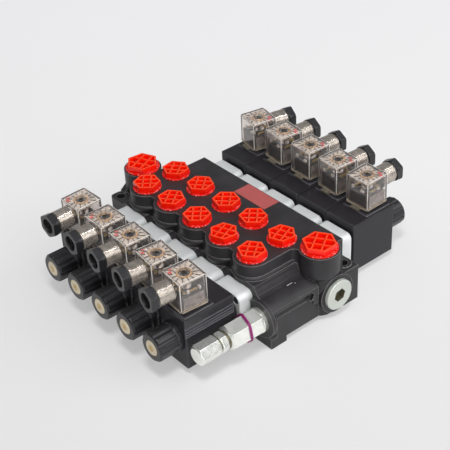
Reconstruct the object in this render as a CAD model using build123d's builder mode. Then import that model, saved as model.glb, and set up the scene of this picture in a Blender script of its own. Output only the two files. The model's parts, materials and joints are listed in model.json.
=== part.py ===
from build123d import *
import os
from math import cos, radians, sin, sqrt

# Millimetres. X runs along the row of sections, Y along the spools, Z up from the mounting face.
# The origin is the middle of the mounting face, with Y = 0 half way between the machined ends.

# Sections
section_count = 5
pitch = 38.0
section_x = [(i - (section_count - 1) / 2) * pitch for i in range(section_count)]
first_x, last_x = section_x[0], section_x[-1]

# Clearances, all radial or face to face
running_gap = 0.03
thread_gap = 0.1
assembly_gap = 0.25
seat_gap = 0.3
drill_overrun = 1.0

# Casting
end_face_y = 53.5
spool_z = 34.0
shoulder_z = 52.5
port_face_z = 72.5
foot_height = 6.0
housing_side = 20.0
valley_radius = 6.0
valley_depth = 4.5
deck_left = 4.0
deck_front_y = -44.5
deck_back_y = 37.0
deck_fillet = 3.0
deck_blend = 5.0
p_bridge_width = 22.0
t_bridge_front = 2.0
t_bridge_reach = 4.5

# Ports
work_port_a_y = -37.0
work_port_b_y = -2.0
work_port_radius = 8.2
work_port_depth = 14.0
work_passage_radius = 5.0
work_boss_radius = 17.0
collar_reach = 1.9
collar_bottom_z = 58.2
collar_top_z = 60.7
collar_edge = 1.2
main_port_offset = 32.5
main_port_radius = 10.5
main_port_depth = 15.0
main_passage_radius = 7.0
main_boss_radius = 18.5
p_port_y = -18.5
t_port_y = 13.0
p_port_x = first_x - main_port_offset
t_port_x = last_x + main_port_offset

# Galleries
pressure_gallery_z = 27.5
pressure_gallery_radius = 5.0
tank_gallery_y = 22.0
tank_gallery_z = 24.3
tank_gallery_radius = 6.0

# Right end of the casting
right_face_reach = 41.3
right_face_x = last_x + right_face_reach
pad_top_z = 30.6
pad_front_y = -46.3
pad_recess_depth = 1.5
pad_recess_z = 10.0
flank_points = [(20.2, 57.9), (21.0, 57.4), (21.4, 54.9), (23.0, 52.4), (24.5, 49.6)]
flank_foot = 28.0
flank_edge = 0.8
barrel_side_offset = 13.3
barrel_end_y = 0.5
slot_end_y = -5.0
slot_height = 9.5
slot_floor_reach = 40.0
slot_floor_x = last_x + slot_floor_reach
buttress_bottom_z = 25.5
plug_boss_radius = 19.5
plug_boss_length = 4.6
t_boss_bottom_z = 51.0
t_boss_taper = 6.0
t_boss_slope = 40.0
t_column_radius = 13.0

# Mounting lugs
lug_hole_radius = 4.5
lug_ring_radius = 8.0
lug_ring_height = 0.8
lug_web_width = 7.0
lug_web_top = [(-39.7, 50.0), (-32.6, 55.6)]
right_lug_top_z = 37.7
right_lug_reach = 30.0
right_lug_x = last_x + right_lug_reach
right_lug_y = 45.0
left_ear_top_z = 49.2
left_ear_offset = 3.5
left_ear_x = p_port_x - left_ear_offset
left_ear_y = -45.5
left_ear_reach = 11.5
left_ear_end_x = p_port_x - left_ear_reach
left_ear_back_y = -38.5
lug_corner = 5.0
foot_length = 18.0
foot_width = 24.0

# Relief valve, on an axis along Y
relief_reach = 31.0
relief_x = last_x + relief_reach
relief_z = 30.6
relief_barrel_radius = 18.0
relief_rim_radius = 18.2
relief_rim_clearance = 1.25
relief_return_radius = 3.0
relief_return_offset = 5.0
relief_return_length = 60.0
relief_boss_proud = 4.0
relief_hex_flats = 22.0
relief_hex_length = 35.0
relief_turn = 45.0
relief_bevel = 2.2
bevel_slope = 1.7
relief_collar_length = 3.5
relief_collar_radius = 11.8
relief_thread_radius = 7.5
relief_thread_length = 26.0
relief_cross_radius = 1.5
relief_spring_radius = 6.0
relief_spring_wall = 2.0
relief_seat_radius = 3.5
relief_seat_length = 3.0
relief_poppet_stroke = 2.0
relief_poppet_length = 9.0
relief_cone_length = 2.2
relief_cone_reach = 1.0
relief_cone_tip = 2.0
relief_screw_radius = 5.0
relief_screw_grip = 14.0
relief_screw_reach = 6.0
relief_shank_radius = 8.3
relief_cap_spigot_radius = 7.0
relief_socket_flats = 5.0
relief_nut_flats = 17.0
relief_nut_length = 6.5
relief_nut_offset = 2.5
relief_nut_bevel = 0.8
relief_nut_turn = 3.0
relief_cap_length = 21.5
relief_cap_gap = 1.5
relief_cap_crown = 4.0
band_offset = 17.2
band_width = 2.4
band_thickness = 1.1
band_slant = 9.5

# Spools
spool_radius = 8.0
spool_groove_radius = 5.6
spool_half_length = 56.5
spool_stroke = 5.0
spool_nose_radius = 4.5
spool_nose_length = 2.0
spool_groove_y = [-46.0, -28.0, -10.0, 10.0, 32.0]
spool_groove_width = 7.0

# End flanges
flange_side = 36.0
flange_thickness = 15.0
flange_corner = 6.0
flange_bore_radius = 11.5
flange_edge = 0.6
flange_screw_offset = 12.7
screw_shank_radius = 2.0
screw_head_radius = 3.5
screw_head_height = 4.0
screw_socket_flats = 3.0
screw_length = 22.0
seal_outer_radius = 14.0
seal_thickness = 1.8
spring_outer_radius = 10.5
spring_inner_radius = 8.3

# Core tubes, armatures and coils
front_coil_gap = 5.5
back_coil_gap = 2.0
coil_length = 53.5
front_coil_width = 35.6
back_coil_width = 37.4
coil_height = 52.5
coil_drop = 27.0
coil_edge = 1.5
coil_groove_depth = 0.8
coil_groove_height = 1.2
coil_groove_tops = [9.1, 12.4, 15.2, 17.6]
coil_pad_height = 1.0
coil_pad_width = 31.0
coil_pad_inset = 20.0
coil_pad_margin = 2.0
coil_pad_edge = 0.5
tube_radius = 7.6
tube_shoulder_radius = 14.0
tube_spigot_length = 4.0
tube_end_reach = 23.9
armature_radius = 5.5
armature_length = 32.0
push_rod_radius = 2.5
pole_length = 13.0
end_float = 0.5
pin_radius = 2.2

# Coil nuts
nut_length = 23.5
nut_radius = 14.3
nut_collar_radius = 13.8
nut_collar_length = 3.2
nut_flute_count = 10
nut_flute_radius = 2.6
nut_flute_depth = 1.6
nut_edge = 0.8

# Plug-on connectors
connector_base_side = 27.8
connector_top_side = 27.2
connector_height = 30.5
connector_corner = 2.0
connector_wall = 1.6
connector_edge = 0.6
connector_boss_length = 14.0
connector_screw_recess = 3.4
connector_screw_grip = 5.0
connector_screw_slot = 0.8
connector_offset = 9.6
connector_lift = 1.8
connector_shift = -1.0
connector_boss_radius = 5.0
neck_height = 18.6
neck_radius = 9.8
neck_reach = 31.5
neck_tip_radius = 8.6
neck_tip_length = 3.6
neck_bore_radius = 7.0
gland_flats = 20.5
gland_length = 7.2
gland_collar_length = 3.0
gland_collar_share = 0.94
gland_scallop_count = 16
gland_scallop_radius = 1.3
gland_scallop_depth = 0.5
gland_bore_radius = 6.5
gland_step = 4.0
gland_bevel = 0.8
gland_turn = 30.0
gland_seal_bore = 4.6
gland_seal_length = 8.0
insert_side = 21.5
insert_height = 15.0
insert_edge = 1.0
insert_pocket_offset = 7.0
insert_pocket_width = 4.0
connector_screw_radius = 1.5
connector_screw_head_radius = 2.8
connector_screw_head_height = 2.4
gasket_side = 24.0
gasket_tab = 5.0
front_yaw = [2.0, 0.0, -3.5, -6.0, -5.0]
back_yaw = [-12.0, -6.0, -2.0, -4.0, 1.0]

# Transport caps
cap_flats = 23.0
main_cap_flats = 27.4
cap_flange_radius = 13.7
main_cap_flange_radius = 17.0
cap_flange_height = 1.0
cap_height = 6.8
cap_recess = 4.2
cap_rim = 1.6
cap_rib = 1.1
cap_rib_share = 0.32
cap_shank_wall = 1.6
cap_shank_length = 9.0
cap_turn_a = [49.0, 37.0, 48.0, 21.0, 37.0]
cap_turn_b = [38.0, 40.0, 45.0, 45.5, 22.0]
cap_turn_p = 24.0
cap_turn_t = 32.0

# Gallery plug
plug_disc_radius = 15.0
plug_disc_height = 3.7
plug_thread_radius = 9.5
plug_thread_length = 12.0
plug_socket_flats = 12.0
plug_socket_depth = 6.0
plug_edge = 0.6
plug_turn = 10.0

# Load checks, on vertical axes under the spools
check_bore_radius = 6.0
check_seat_z = 20.0
check_seat_radius = 3.5
check_poppet_length = 6.0
check_poppet_bore = 4.0
check_crown = 2.0
check_land = 1.0
check_spring_bore = 2.8
check_plug_length = 4.5
check_plug_socket_flats = 5.0


def hexagon_radius(flats):
    return flats / sqrt(3)


def end_plane(x, z, y, outward):
    """Sketch plane facing outward along Y, with its own y axis pointing up."""
    return Plane(origin=(x, y, z), x_dir=(-outward, 0, 0), z_dir=(0, outward, 0))


def placed(part, x, side):
    """Copy of a piece made for the back row, set at section x of the back (1) or front (-1) row."""
    return part.moved(Location((x, 0, 0), (0, 0, 90 * (1 - side))))


def save(part, name):
    part.label = name
    export_step(part, f"parts/{name}.step")


def save_group(solids, name):
    save(Compound(children=list(solids)), name)


# Stations along Y, worked out from the values above
flange_face_y = end_face_y + flange_thickness
spring_seat_y = flange_face_y - tube_spigot_length
front_coil_y = flange_face_y + front_coil_gap
back_coil_y = flange_face_y + back_coil_gap
coil_start = {-1: front_coil_y, 1: back_coil_y}
coil_top_z = spool_z - coil_drop + coil_height
connector_z = coil_top_z + coil_pad_height + connector_lift
relief_face_y = -(end_face_y + relief_boss_proud)
barrel_side_x = relief_x + barrel_side_offset
deck_right_x = last_x + work_boss_radius
plug_face_x = right_face_x + plug_boss_length
cap_top_z = port_face_z + cap_height
work_ports = [(x, y) for y in (work_port_a_y, work_port_b_y) for x in section_x]
screw_corners = [(-flange_screw_offset, -flange_screw_offset), (flange_screw_offset, flange_screw_offset)]
relief_axis = Axis((relief_x, 0, relief_z), (0, 1, 0))
spool_axis = Axis((0, 0, spool_z), (0, 1, 0))
ends = (-1, 1)
coil_centre_y = {side: coil_start[side] + coil_length / 2 for side in ends}
row_yaw = {-1: front_yaw, 1: back_yaw}
coil_width = {-1: front_coil_width, 1: back_coil_width}


def make_boss_collar():
    """Flared collar round the foot of a work port boss, on its own axis."""
    outer = work_boss_radius + collar_reach
    waist = end_face_y + work_port_a_y
    with BuildPart() as collar:
        with BuildSketch(Plane.XZ):
            with BuildLine():
                Polyline(
                    (0, spool_z),
                    (waist, spool_z),
                    (waist, shoulder_z + assembly_gap),
                    (outer, collar_bottom_z),
                    (outer, collar_top_z),
                    (0, collar_top_z),
                    close=True,
                )
            make_face()
        revolve(axis=Axis.Z)
        rims = collar.edges().filter_by(GeomType.CIRCLE).sort_by(SortBy.RADIUS)[-2:]
        fillet(rims, collar_edge)
    return collar.part


def sketch_deck(with_t_boss):
    """Outline of the port deck with its scalloped front edge."""
    with BuildSketch() as deck:
        with BuildLine():
            Polyline(
                (first_x - deck_left, deck_front_y),
                (last_x, deck_front_y),
                (last_x, work_port_a_y),
                (deck_right_x, work_port_a_y),
                (deck_right_x, deck_back_y),
                (first_x - deck_left, deck_back_y),
                close=True,
            )
        make_face()
        with Locations(*work_ports):
            Circle(work_boss_radius)
        with Locations(((p_port_x + first_x) / 2, p_port_y)):
            Rectangle(main_port_offset, p_bridge_width)
        with Locations((p_port_x, p_port_y)):
            Circle(main_boss_radius)
        t_front_y = t_port_y - t_bridge_front
        with Locations(((last_x + t_port_x + t_bridge_reach) / 2, (t_front_y + deck_back_y) / 2)):
            Rectangle(main_port_offset + t_bridge_reach, deck_back_y - t_front_y)
        scallops = [
            v for v in deck.vertices()
            if abs(v.Y - deck_front_y) < 0.01 and first_x < v.X < last_x - work_boss_radius / 2
        ]
        fillet(scallops, deck_fillet)
        if with_t_boss:
            with Locations((t_port_x, t_port_y)):
                Circle(main_boss_radius)
            corner = deck.vertices().sort_by_distance((deck_right_x, t_port_y - main_boss_radius / 2))[0]
            fillet(corner, deck_blend)
    return deck.sketch


def make_valve_body():
    left_x = first_x - housing_side
    shoulder_x = last_x + housing_side
    with BuildPart() as body:
        # Spool housing: one profile from end face to end face
        with BuildSketch(Plane.XZ):
            with BuildLine():
                Polyline(
                    (right_face_x, foot_height),
                    (left_x, foot_height),
                    (left_x, shoulder_z),
                    (shoulder_x, shoulder_z),
                    (shoulder_x, pad_top_z),
                    (right_face_x, pad_top_z),
                    close=True,
                )
            make_face()
            valley_z = shoulder_z - valley_depth + valley_radius
            with Locations(*[(x + pitch / 2, valley_z) for x in section_x[:-1]]):
                Circle(valley_radius, mode=Mode.SUBTRACT)
        extrude(amount=end_face_y, both=True)

        # Stepped flank beside the deck, running down into the barrel of the relief valve
        barrel_top_z = relief_z + relief_barrel_radius
        barrel_edge_z = relief_z + sqrt(relief_barrel_radius**2 - (barrel_side_x - relief_x) ** 2)
        steps = [(last_x + x, z) for x, z in flank_points]
        with BuildSketch(Plane.XZ.offset(-barrel_end_y)) as flank:
            with BuildLine():
                Polyline(
                    (barrel_side_x, barrel_edge_z),
                    (barrel_side_x, pad_top_z),
                    (last_x, pad_top_z),
                    (last_x, steps[0][1]),
                    *steps,
                    (last_x + flank_foot, barrel_top_z),
                    (relief_x, barrel_top_z),
                )
                RadiusArc(
                    (relief_x, barrel_top_z), (barrel_side_x, barrel_edge_z), relief_barrel_radius
                )
            make_face()
            fillet([v for v in flank.vertices() if shoulder_x < v.X < last_x + flank_foot], flank_edge)
        extrude(amount=barrel_end_y + end_face_y)

        # Slot between the barrel and the side pad, with a round end before the buttress
        slot_length = end_face_y + slot_height + slot_end_y
        with BuildSketch(Plane.YZ.offset(slot_floor_x)):
            with Locations((slot_end_y - slot_length / 2, pad_top_z + slot_height / 2)):
                SlotOverall(slot_length, slot_height)
        extrude(amount=barrel_side_x - slot_floor_x + drill_overrun, mode=Mode.SUBTRACT)
        with BuildSketch(Plane.XY.offset(buttress_bottom_z)):
            with Locations(((relief_x + barrel_side_x) / 2, (barrel_end_y + slot_end_y) / 2)):
                Rectangle(barrel_side_x - relief_x, barrel_end_y - slot_end_y)
        extrude(amount=pad_top_z - buttress_bottom_z)

        # Recess in front of the side pad
        with BuildSketch(Plane.XY.offset(pad_recess_z)):
            with Locations((right_face_x, -(end_face_y - pad_front_y) / 2)):
                Rectangle(2 * pad_recess_depth, end_face_y + pad_front_y)
        extrude(amount=pad_top_z - pad_recess_z, mode=Mode.SUBTRACT)

        # Low ledge behind the barrel, beside the gallery plug
        with BuildSketch(Plane.XY.offset(foot_height)):
            with Locations(((last_x + right_face_x) / 2, (barrel_end_y + end_face_y) / 2)):
                Rectangle(right_face_x - last_x, end_face_y - barrel_end_y)
        extrude(amount=right_lug_top_z - foot_height)

        # Port deck, joined to the tank port above the plug
        with BuildSketch(Plane.XY.offset(spool_z)):
            add(sketch_deck(False))
        extrude(amount=t_boss_bottom_z - spool_z)
        with BuildSketch(Plane.XY.offset(t_boss_bottom_z)):
            add(sketch_deck(True))
        extrude(amount=port_face_z - t_boss_bottom_z)

        # Port columns down to the base, the right one drawn in above the gallery plug
        with BuildSketch(Plane.XY.offset(foot_height)):
            with Locations((p_port_x, p_port_y)):
                Circle(main_boss_radius)
            with Locations((t_port_x, t_port_y)):
                Circle(t_column_radius)
        extrude(amount=port_face_z - foot_height)
        with BuildSketch(Plane.XY.offset(t_boss_bottom_z)):
            with Locations((t_port_x, t_port_y)):
                Circle(main_boss_radius)
        extrude(amount=-t_boss_taper, taper=t_boss_slope)

        # Collars of the front bosses, the last one carried on along the deck
        collar = make_boss_collar()
        with Locations(*[(x, work_port_a_y, 0) for x in section_x]):
            add(collar)
        ridge_width = work_boss_radius + collar_reach
        with BuildSketch(Plane.XZ.offset(-barrel_end_y)) as ridge:
            with Locations((last_x + ridge_width / 2, (shoulder_z + collar_top_z) / 2)):
                Rectangle(ridge_width, collar_top_z - shoulder_z)
            fillet(ridge.vertices().group_by(Axis.X)[-1].sort_by(Axis.Y)[-1], collar_edge)
        extrude(amount=barrel_end_y - work_port_a_y)

        # Machined end face under the collars
        with BuildSketch(Plane.XZ.offset(end_face_y)):
            with Locations(((left_x + relief_x) / 2, (shoulder_z + assembly_gap) / 2)):
                Rectangle(relief_x - left_x, shoulder_z + assembly_gap)
        extrude(amount=work_boss_radius, mode=Mode.SUBTRACT)

        # Plug boss on the tank gallery
        with BuildSketch(Plane.YZ.offset(shoulder_x)):
            with Locations((tank_gallery_y, tank_gallery_z)):
                Circle(plug_boss_radius)
        extrude(amount=plug_face_x - shoulder_x)

        # Rim round the relief valve, cut back beside the last end flange
        with BuildSketch(Plane.XZ.offset(end_face_y)):
            with Locations((relief_x, relief_z)):
                Circle(relief_rim_radius)
            with Locations((last_x, relief_z)):
                Rectangle(
                    flange_side + 2 * relief_rim_clearance, 4 * relief_rim_radius, mode=Mode.SUBTRACT
                )
        extrude(amount=relief_boss_proud)

        # Left ear, tied to the pressure port column
        with BuildSketch(Plane.XY) as ear:
            with BuildLine():
                Polyline(
                    (left_ear_end_x, -end_face_y),
                    (left_x + lug_corner, -end_face_y),
                    (left_x + lug_corner, p_port_y),
                    (p_port_x, p_port_y),
                    (p_port_x - lug_corner, left_ear_back_y),
                    (left_ear_end_x, left_ear_back_y),
                    close=True,
                )
            make_face()
            fillet([v for v in ear.vertices() if v.X < left_ear_end_x + 0.1], lug_corner)
        extrude(amount=left_ear_top_z)
        with BuildSketch(Plane.YZ.offset(left_ear_end_x)):
            with BuildLine():
                Polyline(
                    (lug_web_top[0][0], left_ear_top_z - lug_corner),
                    *lug_web_top,
                    (lug_web_top[1][0], left_ear_top_z - lug_corner),
                    close=True,
                )
            make_face()
        extrude(amount=lug_web_width)

        # Ring round the right mounting hole
        with BuildSketch(Plane.XY.offset(right_lug_top_z)):
            with Locations((right_lug_x, right_lug_y)):
                Circle(lug_ring_radius)
        extrude(amount=lug_ring_height)

        # Feet
        foot_y = end_face_y - foot_length / 2
        foot_x = right_face_x - foot_width / 2
        with BuildSketch(Plane.XY):
            with Locations((foot_x, -foot_y), (foot_x, foot_y), (left_x + foot_width / 2, foot_y)):
                Rectangle(foot_width, foot_length)
        extrude(amount=foot_height)

        # Spool bores
        with BuildSketch(Plane.XZ):
            with Locations(*[(x, spool_z) for x in section_x]):
                Circle(spool_radius)
        extrude(amount=end_face_y, both=True, mode=Mode.SUBTRACT)

        # Work ports
        with BuildSketch(Plane.XY.offset(port_face_z)):
            with Locations(*work_ports):
                Circle(work_port_radius)
        extrude(amount=-work_port_depth, mode=Mode.SUBTRACT)
        with BuildSketch(Plane.XY.offset(spool_z)):
            with Locations(*work_ports):
                Circle(work_passage_radius)
        extrude(amount=port_face_z - spool_z, mode=Mode.SUBTRACT)

        # Pressure and tank ports
        with BuildSketch(Plane.XY.offset(port_face_z)):
            with Locations((p_port_x, p_port_y), (t_port_x, t_port_y)):
                Circle(main_port_radius)
        extrude(amount=-main_port_depth, mode=Mode.SUBTRACT)
        with BuildSketch(Plane.XY.offset(tank_gallery_z)):
            with Locations((p_port_x, p_port_y), (t_port_x, t_port_y)):
                Circle(main_passage_radius)
        extrude(amount=port_face_z - tank_gallery_z, mode=Mode.SUBTRACT)

        # Galleries
        with BuildSketch(Plane.YZ.offset(p_port_x)):
            with Locations((p_port_y, pressure_gallery_z)):
                Circle(pressure_gallery_radius)
        extrude(amount=relief_x - p_port_x, mode=Mode.SUBTRACT)
        with BuildSketch(Plane.YZ.offset(first_x - deck_left)):
            with Locations((tank_gallery_y, tank_gallery_z)):
                Circle(tank_gallery_radius)
        extrude(amount=plug_face_x - first_x + deck_left, mode=Mode.SUBTRACT)
        with BuildSketch(Plane.YZ.offset(plug_face_x)):
            with Locations((tank_gallery_y, tank_gallery_z)):
                Circle(plug_thread_radius)
        extrude(amount=-plug_thread_length - 2 * drill_overrun, mode=Mode.SUBTRACT)

        # Relief cavity, and its way out to the tank gallery
        with BuildSketch(Plane.XZ.offset(-relief_face_y)):
            with Locations((relief_x, relief_z)):
                Circle(relief_thread_radius)
        extrude(amount=-relief_thread_length - drill_overrun, mode=Mode.SUBTRACT)
        with BuildSketch(Plane.XZ.offset(-relief_face_y)):
            with Locations((relief_x, relief_z)):
                Circle(relief_seat_radius)
        extrude(amount=relief_face_y - p_port_y, mode=Mode.SUBTRACT)
        with BuildSketch(Plane.XZ.offset(-tank_gallery_y)):
            with Locations((relief_x + relief_return_offset, tank_gallery_z)):
                Circle(relief_return_radius)
        extrude(amount=relief_return_length, mode=Mode.SUBTRACT)

        # Load check bores from below
        with BuildSketch(Plane.XY):
            with Locations(*[(x, p_port_y) for x in section_x]):
                Circle(check_bore_radius)
        extrude(amount=check_seat_z, mode=Mode.SUBTRACT)
        with BuildSketch(Plane.XY):
            with Locations(*[(x, p_port_y) for x in section_x]):
                Circle(check_seat_radius)
        extrude(amount=spool_z, mode=Mode.SUBTRACT)

        # Flange screw holes
        for side in ends:
            for x in section_x:
                with BuildSketch(end_plane(x, spool_z, side * end_face_y, side)):
                    with Locations(*screw_corners):
                        Circle(screw_shank_radius + thread_gap)
                hole_depth = screw_head_height + screw_length - flange_thickness + drill_overrun
                extrude(amount=-hole_depth, mode=Mode.SUBTRACT)

        # Mounting holes
        with BuildSketch(Plane.XY):
            with Locations((right_lug_x, right_lug_y), (left_ear_x, left_ear_y)):
                Circle(lug_hole_radius)
        extrude(amount=shoulder_z, mode=Mode.SUBTRACT)
    return body.part


def make_end_flange():
    with BuildPart() as flange:
        with BuildSketch(end_plane(0, spool_z, end_face_y, 1)):
            RectangleRounded(flange_side, flange_side, flange_corner)
            Circle(flange_bore_radius, mode=Mode.SUBTRACT)
        extrude(amount=flange_thickness)
        rim = flange.faces().filter_by(Axis.Y).sort_by(Axis.Y)[-1].outer_wire().edges()
        chamfer(rim, flange_edge)
        with BuildSketch(end_plane(0, spool_z, end_face_y, 1)):
            Circle(seal_outer_radius)
        extrude(amount=seal_thickness, mode=Mode.SUBTRACT)
        with BuildSketch(end_plane(0, spool_z, end_face_y, 1)):
            with Locations(*screw_corners):
                Circle(screw_shank_radius + thread_gap)
        extrude(amount=flange_thickness, mode=Mode.SUBTRACT)
        with BuildSketch(end_plane(0, spool_z, flange_face_y, 1)):
            with Locations(*screw_corners):
                Circle(screw_head_radius + thread_gap)
        extrude(amount=-screw_head_height - assembly_gap, mode=Mode.SUBTRACT)
    return flange.part


def make_flange_screw():
    """One socket head screw for the back row, on the flange axis."""
    head_y = flange_face_y - assembly_gap
    with BuildPart() as screw:
        with BuildSketch(end_plane(0, spool_z, head_y, 1)):
            Circle(screw_head_radius)
        extrude(amount=-screw_head_height)
        with BuildSketch(end_plane(0, spool_z, head_y, 1)):
            Circle(screw_shank_radius)
        extrude(amount=-screw_head_height - screw_length)
        with BuildSketch(end_plane(0, spool_z, head_y, 1)):
            RegularPolygon(hexagon_radius(screw_socket_flats), 6)
        extrude(amount=-screw_head_height / 2, mode=Mode.SUBTRACT)
    return screw.part


def make_ring(outer, inner, start_y, length):
    """Plain ring on the spool axis."""
    with BuildPart() as ring:
        with BuildSketch(end_plane(0, spool_z, start_y, 1)):
            Circle(outer)
            Circle(inner, mode=Mode.SUBTRACT)
        extrude(amount=length)
    return ring.part


def make_core_tube(start_y):
    """Pole piece and tube turned as one, for a coil that starts at start_y."""
    end_y = start_y + coil_length + tube_end_reach
    chamber_y = start_y + pole_length
    chamber_length = armature_length + 2 * (spool_stroke + end_float)
    with BuildPart() as tube:
        with BuildSketch(Plane.YZ):
            with BuildLine():
                Polyline(
                    (spring_seat_y, spool_z),
                    (spring_seat_y, spool_z + flange_bore_radius - thread_gap),
                    (flange_face_y, spool_z + flange_bore_radius - thread_gap),
                    (flange_face_y, spool_z + tube_shoulder_radius),
                    (start_y, spool_z + tube_shoulder_radius),
                    (start_y, spool_z + tube_radius),
                    (end_y - nut_edge, spool_z + tube_radius),
                    (end_y, spool_z + tube_radius - nut_edge),
                    (end_y, spool_z),
                    close=True,
                )
            make_face()
        revolve(axis=spool_axis)
        with BuildSketch(end_plane(0, spool_z, spring_seat_y, 1)):
            Circle(push_rod_radius + running_gap)
        extrude(amount=chamber_y - spring_seat_y, mode=Mode.SUBTRACT)
        with BuildSketch(end_plane(0, spool_z, chamber_y, 1)):
            Circle(armature_radius + running_gap)
        extrude(amount=chamber_length, mode=Mode.SUBTRACT)
        with BuildSketch(end_plane(0, spool_z, chamber_y, 1)):
            Circle(pin_radius + running_gap)
        extrude(amount=end_y - chamber_y, mode=Mode.SUBTRACT)
    return tube.part


def make_armature(start_y):
    """Armature with its push rod to the spool and the override pin behind it."""
    spool_end_y = spool_half_length + spool_nose_length
    armature_y = start_y + pole_length + spool_stroke + end_float
    end_y = start_y + coil_length + tube_end_reach
    with BuildPart() as armature:
        for radius, near_y, far_y in (
            (push_rod_radius, spool_end_y, armature_y),
            (armature_radius, armature_y, armature_y + armature_length),
            (pin_radius, armature_y + armature_length, end_y),
        ):
            with BuildSketch(end_plane(0, spool_z, near_y, 1)):
                Circle(radius)
            extrude(amount=far_y - near_y)
    return armature.part


def make_spool():
    radius = spool_radius - running_gap
    with BuildPart() as spool:
        with BuildSketch(Plane.XZ):
            with Locations((0, spool_z)):
                Circle(radius)
        extrude(amount=spool_half_length, both=True)
        for y in spool_groove_y:
            with BuildSketch(end_plane(0, spool_z, y - spool_groove_width / 2, 1)):
                Circle(radius)
                Circle(spool_groove_radius, mode=Mode.SUBTRACT)
            extrude(amount=spool_groove_width, mode=Mode.SUBTRACT)
        with BuildSketch(Plane.XZ):
            with Locations((0, spool_z)):
                Circle(spool_nose_radius)
        extrude(amount=spool_half_length + spool_nose_length, both=True)
    return spool.part


def make_coil(start_y, width, screw_x):
    """Coil block for the back row, with the connector's screw hole at screw_x."""
    centre_z = coil_top_z - coil_height / 2
    centre_y = start_y + coil_length / 2
    with BuildPart() as coil:
        with BuildSketch(end_plane(0, centre_z, start_y, 1)):
            RectangleRounded(width, coil_height, coil_edge)
        extrude(amount=coil_length)
        chamfer(
            coil.faces().sort_by(Axis.Y)[-1].edges() + coil.faces().sort_by(Axis.Y)[0].edges(),
            coil_edge / 2,
        )
        with BuildSketch(end_plane(0, centre_z, start_y, 1)):
            for drop in coil_groove_tops:
                with Locations((width / 2, coil_height / 2 - drop)):
                    Rectangle(2 * coil_groove_depth, coil_groove_height)
        extrude(amount=coil_length, mode=Mode.SUBTRACT)
        with BuildSketch(Plane.XY.offset(coil_top_z - coil_pad_height)):
            pad_start_y = start_y + coil_pad_inset
            pad_end_y = start_y + coil_length - coil_pad_margin
            with Locations((0, (pad_start_y + pad_end_y) / 2)):
                RectangleRounded(coil_pad_width, pad_end_y - pad_start_y, coil_edge)
        extrude(amount=2 * coil_pad_height)
        chamfer(coil.faces().sort_by(Axis.Z)[-1].edges(), coil_pad_edge)
        with BuildSketch(end_plane(0, spool_z, start_y, 1)):
            Circle(tube_radius + thread_gap)
        extrude(amount=coil_length, mode=Mode.SUBTRACT)
        with BuildSketch(Plane.XY.offset(coil_top_z + coil_pad_height)):
            with Locations((screw_x, centre_y + connector_offset)):
                Circle(connector_screw_radius + thread_gap)
        extrude(amount=-connector_screw_grip - coil_pad_height - drill_overrun, mode=Mode.SUBTRACT)
    return coil.part


def make_coil_nut(start_y):
    """Fluted nut that holds a coil on its tube."""
    face_y = start_y + coil_length
    end_y = face_y + nut_length
    flute_centre = nut_radius + nut_flute_radius - nut_flute_depth
    with BuildPart() as nut:
        with BuildSketch(Plane.YZ):
            with BuildLine():
                Polyline(
                    (face_y, spool_z + tube_radius + thread_gap),
                    (face_y, spool_z + nut_radius),
                    (face_y + nut_collar_length, spool_z + nut_radius),
                    (face_y + nut_collar_length + nut_edge, spool_z + nut_collar_radius),
                    (end_y - 2 * nut_edge, spool_z + nut_collar_radius),
                    (end_y, spool_z + nut_collar_radius - 2 * nut_edge),
                    (end_y, spool_z + tube_radius + thread_gap),
                    close=True,
                )
            make_face()
        revolve(axis=spool_axis)
        with BuildSketch(end_plane(0, spool_z, face_y + nut_collar_length + nut_edge, 1)):
            with PolarLocations(flute_centre, nut_flute_count):
                Circle(nut_flute_radius)
        extrude(amount=nut_length, mode=Mode.SUBTRACT)
    return nut.part


def make_connector():
    """Clear housing on its own vertical axis, neck towards +Y."""
    top_z = connector_z + connector_height
    neck_z = connector_z + neck_height
    inner_top_z = top_z - connector_wall
    base_inside = connector_base_side - 2 * connector_wall
    top_inside = connector_top_side - 2 * connector_wall
    with BuildPart() as housing:
        with BuildSketch(Plane.XY.offset(connector_z)):
            RectangleRounded(connector_base_side, connector_base_side, connector_corner)
        with BuildSketch(Plane.XY.offset(top_z)):
            RectangleRounded(connector_top_side, connector_top_side, connector_corner)
        loft()
        chamfer(housing.faces().sort_by(Axis.Z)[-1].edges(), connector_edge)
        with BuildSketch(end_plane(0, neck_z, 0, 1)):
            Circle(neck_radius)
        extrude(amount=neck_reach)
        with BuildSketch(end_plane(0, neck_z, 0, 1)):
            Circle(neck_tip_radius)
        extrude(amount=neck_reach + neck_tip_length)
        with BuildSketch(Plane.XY.offset(connector_z)):
            RectangleRounded(base_inside, base_inside, connector_wall)
        with BuildSketch(Plane.XY.offset(inner_top_z)):
            RectangleRounded(top_inside, top_inside, connector_wall)
        loft(mode=Mode.SUBTRACT)
        with BuildSketch(end_plane(0, neck_z, 0, 1)):
            Circle(neck_bore_radius)
        extrude(amount=neck_reach + neck_tip_length, mode=Mode.SUBTRACT)
        with BuildSketch(Plane.XY.offset(top_z)):
            Circle(connector_boss_radius)
        extrude(amount=-connector_boss_length)
        with BuildSketch(Plane.XY.offset(top_z)):
            Circle(connector_screw_head_radius + assembly_gap)
        extrude(amount=-connector_screw_recess, mode=Mode.SUBTRACT)
        with BuildSketch(Plane.XY.offset(top_z)):
            Circle(connector_screw_radius + assembly_gap)
        extrude(amount=-connector_boss_length, mode=Mode.SUBTRACT)
    return housing.part


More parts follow.
